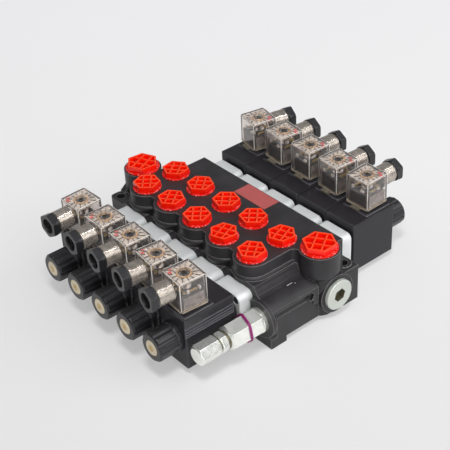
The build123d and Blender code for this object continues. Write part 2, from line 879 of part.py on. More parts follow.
def make_terminal_block():
    """Contact carrier that fills the lower half of a connector housing."""
    block_z = connector_z + insert_height
    with BuildPart() as block:
        with BuildSketch(Plane.XY.offset(connector_z)):
            RectangleRounded(insert_side, insert_side, connector_wall)
            Circle(connector_screw_radius + assembly_gap, mode=Mode.SUBTRACT)
        extrude(amount=insert_height)
        chamfer(block.faces().sort_by(Axis.Z)[-1].outer_wire().edges(), insert_edge)
        with BuildSketch(Plane.XY.offset(block_z)):
            with PolarLocations(insert_pocket_offset, 3, start_angle=-180, angular_range=180):
                Rectangle(insert_pocket_width, insert_pocket_width)
        extrude(amount=-insert_pocket_width, mode=Mode.SUBTRACT)
    return block.part


def make_connector_gasket():
    with BuildPart() as gasket:
        with BuildSketch(Plane.XY.offset(connector_z)):
            RectangleRounded(gasket_side, gasket_side, connector_wall)
            with Locations((0, -gasket_side / 2 - gasket_tab / 2)):
                Rectangle(2 * gasket_tab, gasket_tab + drill_overrun)
            Circle(connector_screw_radius + assembly_gap, mode=Mode.SUBTRACT)
        extrude(amount=-connector_lift)
    return gasket.part


def make_connector_screw():
    head_z = connector_z + connector_height - connector_screw_recess + connector_screw_head_height
    with BuildPart() as screw:
        with BuildSketch(Plane.XY.offset(head_z)):
            Circle(connector_screw_head_radius)
        extrude(amount=-connector_screw_head_height)
        with BuildSketch(Plane.XY.offset(head_z)):
            Circle(connector_screw_radius)
        extrude(amount=-(head_z - coil_top_z + connector_screw_grip))
        with BuildSketch(Plane.XY.offset(head_z)):
            Rectangle(2 * connector_screw_head_radius, connector_screw_slot)
        extrude(amount=-connector_screw_head_height / 2, mode=Mode.SUBTRACT)
    return screw.part


def make_gland_nut():
    """Hexagon nut with a scalloped collar, on the tip of a connector neck."""
    neck_z = connector_z + neck_height
    near_y = neck_reach + assembly_gap
    hexagon = hexagon_radius(gland_flats)
    with BuildPart() as nut:
        with BuildSketch(end_plane(0, neck_z, near_y, 1)):
            RegularPolygon(hexagon, 6, rotation=gland_turn)
        extrude(amount=gland_length)
        with BuildSketch(Plane.YZ):
            with BuildLine():
                Polyline(
                    (near_y, neck_z),
                    (near_y, neck_z + hexagon),
                    (near_y + gland_length - gland_bevel, neck_z + hexagon),
                    (near_y + gland_length, neck_z + hexagon - 2 * gland_bevel),
                    (near_y + gland_length, neck_z),
                    close=True,
                )
            make_face()
        revolve(axis=Axis((0, 0, neck_z), (0, 1, 0)), mode=Mode.INTERSECT)
        collar = hexagon * gland_collar_share
        with BuildSketch(end_plane(0, neck_z, near_y, 1)):
            Circle(2 * hexagon)
            Circle(collar, mode=Mode.SUBTRACT)
            with PolarLocations(collar + gland_scallop_radius - gland_scallop_depth, gland_scallop_count):
                Circle(gland_scallop_radius)
        extrude(amount=gland_collar_length, mode=Mode.SUBTRACT)
        with BuildSketch(end_plane(0, neck_z, near_y, 1)):
            Circle(neck_tip_radius + thread_gap)
        extrude(amount=gland_step, mode=Mode.SUBTRACT)
        with BuildSketch(end_plane(0, neck_z, near_y, 1)):
            Circle(gland_bore_radius)
        extrude(amount=gland_length, mode=Mode.SUBTRACT)
    return nut.part


def make_gland_seal():
    neck_z = connector_z + neck_height
    with BuildPart() as seal:
        with BuildSketch(end_plane(0, neck_z, neck_reach + neck_tip_length, 1)):
            Circle(neck_bore_radius - thread_gap)
            Circle(gland_seal_bore, mode=Mode.SUBTRACT)
        extrude(amount=-gland_seal_length)
    return seal.part


def on_connectors(part, side):
    """Copies of one connector piece over all coils of a row, each with its own yaw."""
    centre_y = side * (coil_centre_y[side] + connector_offset)
    copies = []
    for x, yaw in zip(section_x, row_yaw[side]):
        turn = 90 * (1 - side) + yaw
        copies.append(part.moved(Location((x + connector_shift, centre_y, 0), (0, 0, turn))))
    return copies


def make_cap(flats, flange_radius, port_radius):
    """Port cap on its own axis, with a waffle of ribs in its recess."""
    across = hexagon_radius(flats)
    flange_z = port_face_z + cap_flange_height
    with BuildPart() as cap:
        with BuildSketch(Plane.XY.offset(port_face_z)):
            Circle(flange_radius)
        extrude(amount=cap_flange_height)
        with BuildSketch(Plane.XY.offset(flange_z)):
            RegularPolygon(across, 6)
        extrude(amount=cap_height - cap_flange_height)
        with BuildSketch(Plane.XY.offset(port_face_z)):
            Circle(port_radius - thread_gap)
        extrude(amount=-cap_shank_length)
        with BuildSketch(Plane.XY.offset(port_face_z - cap_shank_length)):
            Circle(port_radius - thread_gap - cap_shank_wall)
        extrude(amount=cap_shank_length + cap_flange_height, mode=Mode.SUBTRACT)
        with BuildSketch(Plane.XY.offset(cap_top_z)):
            RegularPolygon(across - cap_rim / cos(radians(30)), 6)
        extrude(amount=-cap_recess, mode=Mode.SUBTRACT)
        rib_pitch = flats * cap_rib_share
        with BuildSketch(Plane.XY.offset(cap_top_z)):
            with Locations((-rib_pitch / 2, 0), (rib_pitch / 2, 0)):
                Rectangle(cap_rib, 2 * across)
            with Locations((0, -rib_pitch / 2), (0, rib_pitch / 2)):
                Rectangle(2 * across, cap_rib)
            RegularPolygon(across - cap_rim / 2, 6, mode=Mode.INTERSECT)
        extrude(amount=-cap_recess)
    return cap.part


def along_relief(radius, near, far):
    """Round length of the relief axis, measured outward from the boss face."""
    with BuildPart() as piece:
        with BuildSketch(end_plane(relief_x, relief_z, relief_face_y - near, -1)):
            Circle(radius)
        extrude(amount=far - near)
    return piece.part


def hex_along_relief(flats, near, far, bevel, turn):
    """Hexagon length of the relief axis, bevelled to a circle at its outer end."""
    hexagon = hexagon_radius(flats)
    near_y = relief_face_y - near
    far_y = relief_face_y - far
    with BuildPart() as piece:
        with BuildSketch(end_plane(relief_x, relief_z, near_y, -1)):
            RegularPolygon(hexagon, 6, rotation=turn)
        extrude(amount=far - near)
        with BuildSketch(Plane.YZ.offset(relief_x)):
            with BuildLine():
                Polyline(
                    (near_y, relief_z),
                    (near_y, relief_z + hexagon),
                    (far_y + bevel, relief_z + hexagon),
                    (far_y, relief_z + hexagon - bevel_slope * bevel),
                    (far_y, relief_z),
                    close=True,
                )
            make_face()
        revolve(axis=relief_axis, mode=Mode.INTERSECT)
    return piece.part


relief_nose = -relief_thread_length
relief_hex_end = relief_collar_length + relief_hex_length
relief_nut_start = relief_hex_end + relief_nut_offset
relief_cap_start = relief_nut_start + relief_nut_length + relief_cap_gap
relief_cap_end = relief_cap_start + relief_cap_length
relief_spring_end = relief_hex_end - relief_screw_grip
relief_screw_far = relief_cap_end - relief_cap_crown - relief_poppet_stroke


def make_relief_body():
    with BuildPart() as body:
        hexagon = (relief_hex_flats, relief_collar_length, relief_hex_end, relief_bevel, relief_turn)
        add(hex_along_relief(*hexagon))
        add(along_relief(relief_thread_radius - thread_gap, relief_nose, 0))
        add(along_relief(relief_collar_radius, 0, relief_collar_length))
        add(along_relief(relief_seat_radius, relief_nose, 0), mode=Mode.SUBTRACT)
        spring_start = relief_nose + relief_seat_length
        screw_hole = relief_screw_radius + thread_gap
        add(along_relief(relief_spring_radius, spring_start, relief_spring_end), mode=Mode.SUBTRACT)
        add(along_relief(screw_hole, relief_spring_end, relief_hex_end), mode=Mode.SUBTRACT)
        cross_y = relief_face_y - relief_nose - relief_seat_length - relief_poppet_stroke
        for plane in (Plane.XY, Plane.YZ):
            origin = Vector(relief_x, cross_y, relief_z)
            with BuildSketch(Plane(origin=origin, x_dir=plane.x_dir, z_dir=plane.z_dir)):
                Circle(relief_cross_radius)
            extrude(amount=relief_thread_radius, both=True, mode=Mode.SUBTRACT)
    return body.part


def make_relief_poppet():
    seat = relief_nose + relief_seat_length
    radius = relief_spring_radius - running_gap
    with BuildPart() as poppet:
        with BuildSketch(Plane.YZ.offset(relief_x)):
            with BuildLine():
                Polyline(
                    (relief_face_y - seat + relief_cone_reach, relief_z),
                    (relief_face_y - seat + relief_cone_reach, relief_z + relief_cone_tip),
                    (relief_face_y - seat - seat_gap, relief_z + relief_seat_radius),
                    (relief_face_y - seat - relief_cone_length, relief_z + radius),
                    (relief_face_y - seat - relief_poppet_length, relief_z + radius),
                    (relief_face_y - seat - relief_poppet_length, relief_z),
                    close=True,
                )
            make_face()
        revolve(axis=relief_axis)
    return poppet.part


def make_relief_spring():
    start = relief_nose + relief_seat_length + relief_poppet_length + assembly_gap
    end = relief_spring_end - relief_screw_reach - assembly_gap
    with BuildPart() as spring:
        add(along_relief(relief_spring_radius - assembly_gap, start, end))
        add(along_relief(relief_spring_radius - relief_spring_wall, start, end), mode=Mode.SUBTRACT)
    return spring.part


def make_relief_screw():
    start = relief_spring_end - relief_screw_reach
    with BuildPart() as screw:
        add(along_relief(relief_screw_radius, start, relief_screw_far))
        with BuildSketch(end_plane(relief_x, relief_z, relief_face_y - relief_screw_far, -1)):
            RegularPolygon(hexagon_radius(relief_socket_flats), 6)
        extrude(amount=-relief_screw_radius, mode=Mode.SUBTRACT)
    return screw.part


def make_relief_lock_nut():
    end = relief_nut_start + relief_nut_length
    with BuildPart() as nut:
        hexagon = (relief_nut_flats, relief_nut_start, end, relief_nut_bevel, relief_nut_turn)
        add(hex_along_relief(*hexagon))
        add(along_relief(relief_shank_radius, relief_hex_end, relief_nut_start))
        add(along_relief(relief_screw_radius + thread_gap, relief_hex_end, end), mode=Mode.SUBTRACT)
    return nut.part


def make_relief_cap_nut():
    near = relief_cap_start - relief_cap_gap
    with BuildPart() as nut:
        hexagon = (relief_nut_flats, relief_cap_start, relief_cap_end, relief_bevel, relief_nut_turn)
        add(hex_along_relief(*hexagon))
        add(along_relief(relief_cap_spigot_radius, near, relief_cap_start))
        bore = relief_screw_radius + seat_gap
        add(along_relief(bore, near, relief_cap_end - relief_cap_crown), mode=Mode.SUBTRACT)
    return nut.part


def make_tamper_band():
    slant_x, slant_y = cos(radians(band_slant)), sin(radians(band_slant))
    inside = (hexagon_radius(relief_hex_flats) + band_width / 2 * slant_y) / slant_x + thread_gap
    band_plane = Plane(
        origin=(relief_x, relief_face_y - band_offset, relief_z),
        x_dir=(slant_x, -slant_y, 0),
        z_dir=(-slant_y, -slant_x, 0),
    )
    with BuildPart() as band:
        with BuildSketch(band_plane):
            RegularPolygon(inside + band_thickness, 6, rotation=relief_turn)
            RegularPolygon(inside, 6, rotation=relief_turn, mode=Mode.SUBTRACT)
        extrude(amount=band_width / 2, both=True)
        fillet(band.edges().filter_by(lambda e: abs(e.length - band_width) < 0.01), band_thickness / 2)
    return band.part


def make_gallery_plug():
    with BuildPart() as plug:
        with BuildSketch(Plane.YZ.offset(plug_face_x)):
            with Locations((tank_gallery_y, tank_gallery_z)):
                Circle(plug_disc_radius)
        extrude(amount=plug_disc_height)
        chamfer(plug.faces().sort_by(Axis.X)[-1].edges(), plug_edge)
        with BuildSketch(Plane.YZ.offset(plug_face_x)):
            with Locations((tank_gallery_y, tank_gallery_z)):
                Circle(plug_thread_radius - thread_gap)
        extrude(amount=-plug_thread_length)
        with BuildSketch(Plane.YZ.offset(plug_face_x + plug_disc_height)):
            with Locations((tank_gallery_y, tank_gallery_z)):
                RegularPolygon(hexagon_radius(plug_socket_flats), 6, rotation=plug_turn)
        extrude(amount=-plug_socket_depth, mode=Mode.SUBTRACT)
    return plug.part


def make_check_poppet(x):
    """Load check at rest against its seat, open towards the spring below."""
    with BuildPart() as poppet:
        with BuildSketch(Plane.XY.offset(check_seat_z - seat_gap)):
            with Locations((x, p_port_y)):
                Circle(check_bore_radius - running_gap)
        extrude(amount=-check_poppet_length)
        crown_edge = poppet.faces().sort_by(Axis.Z)[-1].edges()
        chamfer(crown_edge, check_bore_radius - check_seat_radius - check_land)
        with BuildSketch(Plane.XY.offset(check_seat_z - seat_gap - check_poppet_length)):
            with Locations((x, p_port_y)):
                Circle(check_poppet_bore)
        extrude(amount=check_poppet_length - check_crown, mode=Mode.SUBTRACT)
    return poppet.part


def make_check_spring(x):
    start_z = foot_height + check_plug_length
    end_z = check_seat_z - seat_gap - check_crown - assembly_gap
    with BuildPart() as spring:
        with BuildSketch(Plane.XY.offset(start_z)):
            with Locations((x, p_port_y)):
                Circle(check_poppet_bore - assembly_gap)
                Circle(check_spring_bore, mode=Mode.SUBTRACT)
        extrude(amount=end_z - start_z)
    return spring.part


def make_check_plug(x):
    with BuildPart() as plug:
        with BuildSketch(Plane.XY.offset(foot_height)):
            with Locations((x, p_port_y)):
                Circle(check_bore_radius - thread_gap)
        extrude(amount=check_plug_length)
        with BuildSketch(Plane.XY.offset(foot_height)):
            with Locations((x, p_port_y)):
                RegularPolygon(hexagon_radius(check_plug_socket_flats), 6)
        extrude(amount=check_plug_length - check_crown, mode=Mode.SUBTRACT)
    return plug.part


os.makedirs("parts", exist_ok=True)
save(make_valve_body(), "valve_body")

flange = make_end_flange()
screw = make_flange_screw()
seal = make_ring(
    seal_outer_radius - thread_gap,
    flange_bore_radius + thread_gap,
    end_face_y,
    seal_thickness,
)
spring = make_ring(
    spring_outer_radius,
    spring_inner_radius,
    end_face_y + assembly_gap,
    spring_seat_y - end_face_y - 2 * assembly_gap,
)
screws = [screw.moved(Location((-corner_x, 0, corner_z))) for corner_x, corner_z in screw_corners]
save_group([placed(s, x, side) for s in screws for side in ends for x in section_x], "flange_screws")
save_group([placed(seal, x, side) for side in ends for x in section_x], "flange_seals")

row_names = {-1: "front", 1: "back"}
spool_sets = {x: [] for x in section_x}
for side in ends:
    row = row_names[side]
    start_y = coil_start[side]
    tube = make_core_tube(start_y)
    nut = make_coil_nut(start_y)
    armature = make_armature(start_y)
    save_group([placed(flange, x, side) for x in section_x], f"end_flanges_{row}")
    save_group([placed(tube, x, side) for x in section_x], f"core_tubes_{row}")
    save_group([placed(nut, x, side) for x in section_x], f"coil_nuts_{row}")
    save_group([placed(spring, x, side) for x in section_x], f"centring_springs_{row}")
    coil = make_coil(start_y, coil_width[side], side * connector_shift)
    for number, x in enumerate(section_x, start=1):
        save(placed(coil, x, side), f"coil_{row}_{number}")
        spool_sets[x].append(placed(armature, x, side))
    save_group(on_connectors(make_connector(), side), f"connectors_{row}")
    save_group(on_connectors(make_gland_nut(), side), f"gland_nuts_{row}")

for name, piece in (
    ("terminal_blocks", make_terminal_block()),
    ("connector_gaskets", make_connector_gasket()),
    ("connector_screws", make_connector_screw()),
    ("gland_seals", make_gland_seal()),
):
    save_group([copy for side in ends for copy in on_connectors(piece, side)], name)

spool = make_spool()
for number, x in enumerate(section_x, start=1):
    save(placed(spool, x, 1), f"spool_{number}")
    save_group(spool_sets[x], f"armatures_{number}")
    save(make_check_poppet(x), f"load_check_poppet_{number}")
save_group([make_check_spring(x) for x in section_x], "load_check_springs")
save_group([make_check_plug(x) for x in section_x], "load_check_plugs")

cap = make_cap(cap_flats, cap_flange_radius, work_port_radius)
for row, port_y, turns in (("a", work_port_a_y, cap_turn_a), ("b", work_port_b_y, cap_turn_b)):
    caps = [cap.moved(Location((x, port_y, 0), (0, 0, turn))) for x, turn in zip(section_x, turns)]
    save_group(caps, f"port_caps_{row}")
main_cap = make_cap(main_cap_flats, main_cap_flange_radius, main_port_radius)
save(main_cap.moved(Location((p_port_x, p_port_y, 0), (0, 0, cap_turn_p))), "p_port_cap")
save(main_cap.moved(Location((t_port_x, t_port_y, 0), (0, 0, cap_turn_t))), "t_port_cap")

save(make_relief_body(), "relief_body")
save(make_relief_poppet(), "relief_poppet")
save(make_relief_spring(), "relief_spring")
save(make_relief_screw(), "relief_adjusting_screw")
save(make_relief_lock_nut(), "relief_lock_nut")
save(make_relief_cap_nut(), "relief_cap_nut")
save(make_tamper_band(), "tamper_band")
save(make_gallery_plug(), "gallery_plug")
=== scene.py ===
import json
import math

import bmesh
import bpy
from mathutils import Matrix, Vector


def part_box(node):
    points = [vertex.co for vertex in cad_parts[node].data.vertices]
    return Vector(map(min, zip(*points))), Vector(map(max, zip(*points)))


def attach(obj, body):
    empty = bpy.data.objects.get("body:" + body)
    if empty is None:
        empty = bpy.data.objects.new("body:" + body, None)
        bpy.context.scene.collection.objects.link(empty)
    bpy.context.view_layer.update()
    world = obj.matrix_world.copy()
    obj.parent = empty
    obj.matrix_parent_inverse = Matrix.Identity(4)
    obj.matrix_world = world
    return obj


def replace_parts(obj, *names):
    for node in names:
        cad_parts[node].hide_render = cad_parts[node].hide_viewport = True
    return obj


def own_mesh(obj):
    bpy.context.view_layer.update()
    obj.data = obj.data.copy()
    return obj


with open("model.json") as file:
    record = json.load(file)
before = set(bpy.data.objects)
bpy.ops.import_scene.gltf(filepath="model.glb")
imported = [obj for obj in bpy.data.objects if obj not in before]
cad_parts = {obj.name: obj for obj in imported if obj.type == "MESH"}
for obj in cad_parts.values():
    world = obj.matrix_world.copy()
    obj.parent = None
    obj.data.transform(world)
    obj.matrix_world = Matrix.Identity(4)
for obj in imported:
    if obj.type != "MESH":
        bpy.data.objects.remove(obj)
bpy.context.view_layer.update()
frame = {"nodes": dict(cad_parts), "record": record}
nodes = frame["nodes"]

MM = 0.001

# Middles of the sections along X and height of the spools, in millimetres
SECTIONS = [-76.0, -38.0, 0.0, 38.0, 76.0]
SPOOL_Z = 34.0


# Materials

# How far the roughness of a surface goes from its value either way
ROUGH_SPREAD = 0.08


def material(name):
    """New material with its node tree and its principled shader."""
    made = bpy.data.materials.new(name)
    made.use_nodes = True
    tree = made.node_tree
    return made, tree, tree.nodes["Principled BSDF"]


def node(tree, kind, inputs=None, **settings):
    """Shader node whose inputs are linked to sockets or set to values."""
    made = tree.nodes.new("ShaderNode" + kind)
    for key, value in settings.items():
        setattr(made, key, value)
    for key, value in (inputs or {}).items():
        if isinstance(value, bpy.types.NodeSocket):
            tree.links.new(value, made.inputs[key])
        else:
            made.inputs[key].default_value = value
    return made


def maths(tree, operation, *values):
    return node(tree, "Math", dict(enumerate(values)), operation=operation).outputs["Value"]


def between(tree, value, start, end):
    """How far a value has come from start to end, from 0 to 1."""
    inputs = {"Value": value, "From Min": start, "From Max": end}
    return node(tree, "MapRange", inputs).outputs["Result"]


def blend(tree, factor, first, second):
    """Colour that turns from the first to the second as the factor goes from 0 to 1."""
    inputs = {"Factor": factor, "A": first, "B": second}
    return node(tree, "Mix", inputs, data_type="RGBA").outputs["Result"]


def noise(tree, place, scale, detail=2.0):
    inputs = {"Vector": place, "Scale": scale, "Detail": detail}
    return node(tree, "TexNoise", inputs).outputs["Fac"]


def round_and_bump(tree, shader, width, height, distance, samples=6):
    """Rounds edges for the light and bumps the surface; gives back the rounded normal."""
    rounded = node(tree, "Bevel", {"Radius": width}, samples=samples).outputs["Normal"]
    bumped = node(tree, "Bump", {"Height": height, "Distance": distance, "Normal": rounded})
    tree.links.new(bumped.outputs["Normal"], shader.inputs["Normal"])
    return rounded


def rgba(colour):
    return (*colour, 1.0)


def ramp(tree, factor, stops):
    """Colour along a row of (position, colour) stops."""
    made = node(tree, "ValToRGB", {"Fac": factor})
    elements = made.color_ramp.elements
    for element, (position, colour) in zip(elements, (stops[0], stops[-1])):
        element.position = position
        element.color = rgba(colour)
    for position, colour in stops[1:-1]:
        elements.new(position).color = rgba(colour)
    return made.outputs["Color"]


def shade(colour, amount):
    """Colour made lighter or darker."""
    return tuple(min(1.0, c * amount) for c in colour)


def surface(
    name,
    colour,
    rough=0.5,
    metal=0.0,
    spread=0.12,
    patch=90.0,
    grain=1500.0,
    bump=0.00004,
    stretch=(1.0, 1.0, 1.0),
    edge=None,
    edge_width=0.0006,
    specular=0.5,
):
    """Opaque material of patchy colour and roughness, with a grain and lighter edges, partly wear
    and partly a painted highlight along the rounded edges.

    patch and grain are the scales of the noises, spread is how far the patches go from the
    colour either way, and bump and edge_width are in metres.
    """
    made, tree, shader = material(name)
    place = node(tree, "TexCoord").outputs["Object"]
    mapped = node(tree, "Mapping", {"Vector": place, "Scale": stretch}).outputs["Vector"]
    patches = noise(tree, place, patch, 4.0)
    fine = noise(tree, mapped, grain, 3.0)
    stops = [(0.3, shade(colour, 1 - spread)), (0.7, shade(colour, 1 + spread))]
    tone = ramp(tree, patches, stops)
    rounded = round_and_bump(tree, shader, edge_width, fine, bump)
    # Lighter colour along the rounded edges: partly wear, partly a painted highlight
    if edge is not None:
        sharp = node(tree, "NewGeometry").outputs["Normal"]
        facing = node(tree, "VectorMath", {0: rounded, 1: sharp}, operation="DOT_PRODUCT")
        edge_wear_and_sheen = between(tree, facing.outputs["Value"], 0.995, 0.8)
        tone = blend(tree, maths(tree, "MULTIPLY", edge_wear_and_sheen, fine), tone, rgba(edge))
    tree.links.new(tone, shader.inputs["Base Color"])
    limits = {"To Min": rough - ROUGH_SPREAD, "To Max": rough + ROUGH_SPREAD}
    roughness = node(tree, "MapRange", {"Value": patches, **limits}).outputs["Result"]
    tree.links.new(roughness, shader.inputs["Roughness"])
    shader.inputs["Metallic"].default_value = metal
    shader.inputs["Specular IOR Level"].default_value = specular
    return made


def clear_plastic(name, tint, rough):
    """Clear plastic with a haze in its tint and a slight ripple."""
    made, tree, shader = material(name)
    haze = noise(tree, node(tree, "TexCoord").outputs["Object"], 260.0)
    tone = ramp(tree, haze, [(0.3, shade(tint, 0.94)), (0.7, tint)])
    tree.links.new(tone, shader.inputs["Base Color"])
    round_and_bump(tree, shader, 0.0007, haze, 0.0001, samples=4)
    shader.inputs["Transmission Weight"].default_value = 0.96
    shader.inputs["Roughness"].default_value = rough
    shader.inputs["IOR"].default_value = 1.45
    return made


def cap_plastic(name, low_z, high_z, edge_z):
    """Red plastic, with painted shade darker in the recess and painted light more orange where
    thin ribs let light through.

    The colour runs from low_z to high_z, and painted glints lie as light spots on the flange's
    edge under edge_z.
    """
    made, tree, shader = material(name)
    place = node(tree, "TexCoord").outputs["Object"]
    height = node(tree, "SeparateXYZ", {"Vector": place}).outputs["Z"]
    # Painted shade low in the recess, painted light at the thin rib tops
    stops = [
        (0.0, (0.72, 0.006, 0.001)),
        (0.45, (0.95, 0.008, 0.001)),
        (0.93, (1.0, 0.016, 0.001)),
        (1.0, (1.0, 0.056, 0.009)),
    ]
    tone = ramp(tree, between(tree, height, low_z * MM, high_z * MM), stops)
    grain = noise(tree, place, 700.0)
    # Painted glints: light spots on the flange's edge
    flange = between(tree, height, edge_z * MM, (edge_z - 0.3) * MM)
    glint_spots = between(tree, grain, 0.56, 0.66)
    painted_glint = maths(tree, "MULTIPLY", flange, glint_spots)
    tone = blend(tree, painted_glint, tone, rgba((1.0, 0.62, 0.56)))
    tree.links.new(tone, shader.inputs["Base Color"])
    round_and_bump(tree, shader, 0.0008, grain, 0.00004)
    shader.inputs["Roughness"].default_value = 0.2
    shader.inputs["Specular IOR Level"].default_value = 0.25
    shader.inputs["Coat Weight"].default_value = 0.35
    shader.inputs["Coat Roughness"].default_value = 0.12
    shader.inputs["Subsurface Weight"].default_value = 0.3
    shader.inputs["Subsurface Radius"].default_value = (1.0, 0.15, 0.08)
    shader.inputs["Subsurface Scale"].default_value = 0.004
    return made


def painted_shade_inside(look, low, high, colour):
    """Paints shade into a look: another colour where it lies closer than low to the middle along
    Y.
    """
    tree = look.node_tree
    shader = tree.nodes["Principled BSDF"]
    tone = shader.inputs["Base Color"].links[0].from_socket
    place = node(tree, "TexCoord").outputs["Object"]
    along = node(tree, "SeparateXYZ", {"Vector": place}).outputs["Y"]
    away = between(tree, maths(tree, "ABSOLUTE", along), low * MM, high * MM)
    tree.links.new(blend(tree, away, rgba(colour), tone), shader.inputs["Base Color"])


black_paint = surface(
    "black_paint",
    (0.026, 0.024, 0.026),
    rough=0.42,
    spread=0.25,
    patch=60.0,
    grain=1300.0,
    bump=0.00012,
    edge=(0.4, 0.39, 0.39),
    edge_width=0.0011,
    specular=0.36,
)
red_cap = cap_plastic("red_cap", low_z=74.0, high_z=79.3, edge_z=73.6)
cast_alloy = surface(
    "cast_alloy",
    (0.7, 0.72, 0.72),
    rough=0.4,
    metal=0.2,
    spread=0.05,
    grain=2200.0,
    bump=0.00005,
    stretch=(1.0, 1.0, 0.1),
    edge=(0.85, 0.85, 0.85),
    edge_width=0.0008,
)
# Painted highlight: the coils' light edge colour stands for light caught by their rounded edges
coil_black = surface(
    "coil_black",
    (0.016, 0.0145, 0.0175),
    rough=0.42,
    spread=0.15,
    grain=1400.0,
    bump=0.00005,
    stretch=(1.0, 1.0, 0.05),
    edge=(0.36, 0.36, 0.39),
    edge_width=0.0009,
    specular=0.36,
)
nut_black = surface(
    "nut_black",
    (0.014, 0.014, 0.016),
    rough=0.34,
    grain=900.0,
    bump=0.00003,
    edge=(0.12, 0.12, 0.13),
)
rubber_black = surface("rubber_black", (0.012, 0.012, 0.012), rough=0.7)
dark_insert = surface("dark_insert", (0.016, 0.014, 0.013), rough=0.35)
beige = surface("beige", (0.13, 0.115, 0.085), rough=0.5, spread=0.25, patch=300.0)
zinc = surface(
    "zinc",
    (0.94, 0.96, 0.89),
    rough=0.2,
    metal=0.8,
    spread=0.08,
    patch=160.0,
    bump=0.000004,
    edge=(0.95, 0.95, 0.93),
)
plug_zinc = surface(
    "plug_zinc",
    (0.53, 0.56, 0.51),
    rough=0.42,
    metal=0.3,
    spread=0.04,
    bump=0.00001,
    edge=(0.92, 0.95, 0.9),
)
# Dark olive, painted shade in the gaps of the relief valve and in the plug's socket
gap_shade_olive = surface("gap_shade_olive", (0.16, 0.15, 0.1), rough=0.32, metal=0.6, bump=0.00001)
screw_dark = surface(
    "screw_dark", (0.1, 0.085, 0.07), rough=0.35, metal=0.7, spread=0.4, patch=500.0
)
# Raised marks lighter than the paint round them, with lighter edges still
pale_mark = surface("pale_mark", (0.2, 0.19, 0.19), rough=0.3, edge=(0.8, 0.8, 0.8))
side_frost = surface("side_frost", (0.3, 0.265, 0.25), rough=0.3, spread=0.3, patch=260.0)
cream = surface("cream", (0.66, 0.57, 0.41), rough=0.4, metal=0.3)
# Painted shade: the core tubes darker nearer the middle than the coil ends, for the shade in the
# gap between coil and flange
painted_shade_inside(cream, low=127.0, high=130.0, colour=(0.03, 0.03, 0.03))
steel = surface("steel", (0.5, 0.5, 0.5), rough=0.3, metal=1.0)
brass = surface("brass", (0.56, 0.41, 0.17), rough=0.3, metal=0.85)
purple = surface("purple", (0.22, 0.007, 0.12), rough=0.3, spread=0.15)
brick_red = surface("brick_red", (0.4, 0.085, 0.08), rough=0.45, spread=0.06)
led_red = surface("led_red", (0.95, 0.06, 0.05), rough=0.3, spread=0.05)
amber = surface("amber", (0.75, 0.42, 0.16), rough=0.25, metal=0.4, spread=0.5, patch=500.0)
frost = surface("frost", (0.85, 0.74, 0.66), rough=0.3, spread=0.3, patch=420.0)
smoke = surface("smoke", (0.13, 0.1, 0.085), rough=0.3, spread=0.4, patch=400.0)
pearl = surface("pearl", (0.95, 0.9, 0.85), rough=0.3, spread=0.05)
# Dotted light colour of the gasket lines, partly a painted highlight
bead = surface("bead", (0.5, 0.4, 0.27), rough=0.4, spread=0.5, patch=900.0)
thread = surface(
    "thread", (0.6, 0.54, 0.48), rough=0.2, metal=0.85, spread=0.2, patch=200.0, bump=0.000002
)
clear = clear_plastic("clear", (0.93, 0.88, 0.85), rough=0.04)

LOOKS = {
    "painted_casting": black_paint,
    "red_plastic": red_cap,
    "cast_aluminium": cast_alloy,
    "black_steel": nut_black,
    "black_rubber": rubber_black,
    "nickel_steel": cream,
    "black_plastic": nut_black,
    "coil_plastic": coil_black,
    "clear_plastic": clear,
    "dark_plastic": dark_insert,
    "beige_rubber": beige,
    "zinc_steel": zinc,
    "bare_steel": steel,
    "armature_steel": brass,
    "spring_steel": steel,
    "purple_plastic": purple,
}
for part in frame["record"]["subparts"]:
    target = nodes[part["node"]]
    target.data.materials.clear()
    target.data.materials.append(LOOKS[part["material_slot"]])
nodes["gallery_plug"].data.materials[0] = plug_zinc
nodes["connector_screws"].data.materials[0] = screw_dark


# Mesh pieces, drawn in millimetres


def skin(work, rings):
    """Faces from each ring of points to the next."""
    for near, far in zip(rings, rings[1:]):
        for i in range(len(near)):
            j = (i + 1) % len(near)
            work.faces.new((near[i], near[j], far[j], far[i]))


def pour(single, work):
    """Moves one drawing into another."""
    carried = bpy.data.meshes.new("carried")
    single.to_mesh(carried)
    single.free()
    work.from_mesh(carried)
    bpy.data.meshes.remove(carried)


def block(work, low, high, edge):
    """Block with rounded edges between two corners."""
    made = bmesh.ops.create_cube(work, size=1.0)["verts"]
    low, high = Vector(low), Vector(high)
    bmesh.ops.scale(work, vec=high - low, verts=made)
    bmesh.ops.translate(work, vec=(low + high) / 2, verts=made)
    edges = list({e for v in made for e in v.link_edges})
    bmesh.ops.bevel(work, geom=edges, offset=edge, segments=2, affect="EDGES")


def slab(work, plan, low, high, edge):
    """Block on a plan of (x, y, width, depth) about its middle, between two heights."""
    x, y, wide, deep = plan
    block(work, (x - wide / 2, y - deep / 2, low), (x + wide / 2, y + deep / 2, high), edge)


def four_sides(work, half, length, thick, low, high, edge):
    """Four slabs round a square, each with its middle half away from the axis."""
    for way in (half, -half):
        slab(work, (0, way, length, thick), low, high, edge)
        slab(work, (way, 0, thick, length), low, high, edge)


def turned(work, profile, place, segments=48, turn=0.0):
    """Ring turned from a closed profile of points about the Z axis of place.

    A point is (radius, height), or (radius, height, width across flats) where it is cut to a
    hexagon. turn is the angle of one corner in degrees.
    """
    rings = []
    for radius, height, *flats in profile:
        ring = []
        for i in range(segments):
            angle = 2 * math.pi * i / segments + math.radians(turn)
            reach = radius
            if flats:
                from_flat = math.radians(360 * i / segments % 60 - 30)
                reach = min(radius, flats[0] / 2 / math.cos(from_flat))
            point = Vector((reach * math.cos(angle), reach * math.sin(angle), height))
            ring.append(work.verts.new(place @ point))
        rings.append(ring)
    skin(work, rings + rings[:1])


